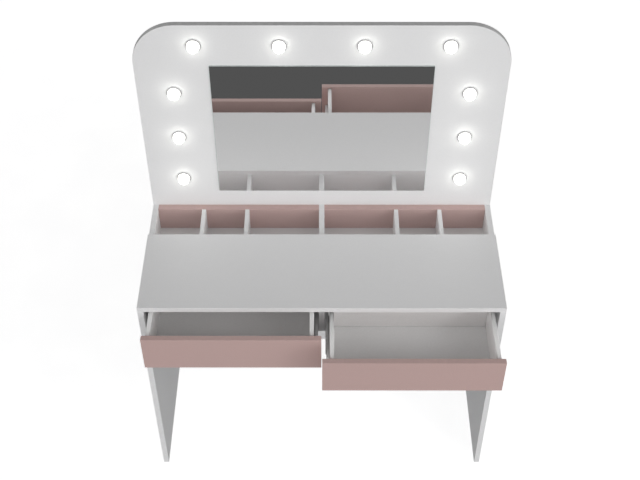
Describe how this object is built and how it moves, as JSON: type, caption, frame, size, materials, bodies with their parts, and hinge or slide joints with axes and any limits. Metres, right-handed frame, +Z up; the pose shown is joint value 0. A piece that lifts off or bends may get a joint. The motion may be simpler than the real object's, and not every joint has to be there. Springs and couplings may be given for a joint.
{
  "type": "vanity table with mirror",
  "caption": "Vanity table with a lamp-framed mirror board, an open organiser behind the top and two pull-out drawers with coloured fronts.",
  "frame": {"origin": "on the floor, under the middle of the box round the table with its drawers open as they stand at rest", "axes": "+Z up, +Y from the drawers to the mirror board, +X from the left drawer to the right drawer as the user sees them"},
  "size_m": [1, 0.634, 1.364],
  "materials": {
    "white_board": "satin white melamine foil on particle board",
    "pink_board": "matt dusty pink foil on board",
    "drawer_foil": "matt white foil on thin board",
    "mirror_glass": "polished silvered glass",
    "lamp_metal": "satin aluminium",
    "lamp_diffuser": "opal white plastic, lit",
    "slide_steel": "white powder-coated steel",
    "white_plastic": "fine-textured white plastic"
  },
  "bodies": {
    "root": {"back_panel": "white_board", "drawer_partition": "white_board", "driver_box": "white_plastic", "lamp_base_01": "lamp_metal", "lamp_base_02": "lamp_metal", "lamp_base_03": "lamp_metal", "lamp_base_04": "lamp_metal", "lamp_base_05": "lamp_metal", "lamp_base_06": "lamp_metal", "lamp_base_07": "lamp_metal", "lamp_base_08": "lamp_metal", "lamp_base_09": "lamp_metal", "lamp_base_10": "lamp_metal", "lamp_dome_01": "lamp_diffuser", "lamp_dome_02": "lamp_diffuser", "lamp_dome_03": "lamp_diffuser", "lamp_dome_04": "lamp_diffuser", "lamp_dome_05": "lamp_diffuser", "lamp_dome_06": "lamp_diffuser", "lamp_dome_07": "lamp_diffuser", "lamp_dome_08": "lamp_diffuser", "lamp_dome_09": "lamp_diffuser", "lamp_dome_10": "lamp_diffuser", "left_side_panel": "white_board", "left_slide_inner_cabinet_member": "slide_steel", "left_slide_outer_cabinet_member": "slide_steel", "mirror": "mirror_glass", "mirror_board": "white_board", "organiser_divider_left_1": "white_board", "organiser_divider_left_2": "white_board", "organiser_divider_middle": "white_board", "organiser_divider_right_1": "white_board", "organiser_divider_right_2": "white_board", "organiser_floor": "white_board", "organiser_front_wall": "white_board", "organiser_rear_panel_left": "pink_board", "organiser_rear_panel_right": "pink_board", "right_side_panel": "white_board", "right_slide_inner_cabinet_member": "slide_steel", "right_slide_outer_cabinet_member": "slide_steel", "table_top": "white_board", "wiring_cover": "white_plastic"},
    "left_drawer": {"left_drawer_back": "drawer_foil", "left_drawer_base": "drawer_foil", "left_drawer_front": "pink_board", "left_drawer_side_inner": "drawer_foil", "left_drawer_side_outer": "drawer_foil", "left_slide_inner_drawer_member": "slide_steel", "left_slide_outer_drawer_member": "slide_steel"},
    "right_drawer": {"right_drawer_back": "drawer_foil", "right_drawer_base": "drawer_foil", "right_drawer_front": "pink_board", "right_drawer_side_inner": "drawer_foil", "right_drawer_side_outer": "drawer_foil", "right_slide_inner_drawer_member": "slide_steel", "right_slide_outer_drawer_member": "slide_steel"},
    "left_slide_middles": {"left_slide_inner_middle_member": "slide_steel", "left_slide_outer_middle_member": "slide_steel"},
    "right_slide_middles": {"right_slide_inner_middle_member": "slide_steel", "right_slide_outer_middle_member": "slide_steel"}
  },
  "joints": [
    {"name": "left_drawer_slide", "type": "slide", "parent": "root", "child": "left_drawer", "axis": [0, -1, 0], "range_m": [-0.096, 0.104]},
    {"name": "right_drawer_slide", "type": "slide", "parent": "root", "child": "right_drawer", "axis": [0, -1, 0], "range_m": [-0.173, 0.027]},
    {"name": "left_middles_slide", "type": "slide", "parent": "root", "child": "left_slide_middles", "axis": [0, -1, 0], "range_m": [-0.048, 0.052]},
    {"name": "right_middles_slide", "type": "slide", "parent": "root", "child": "right_slide_middles", "axis": [0, -1, 0], "range_m": [-0.0865, 0.0135]}
  ],
  "couplings": [
    {"joint": "left_middles_slide", "follows": "left_drawer_slide", "ratio": 0.5},
    {"joint": "right_middles_slide", "follows": "right_drawer_slide", "ratio": 0.5}
  ]
}
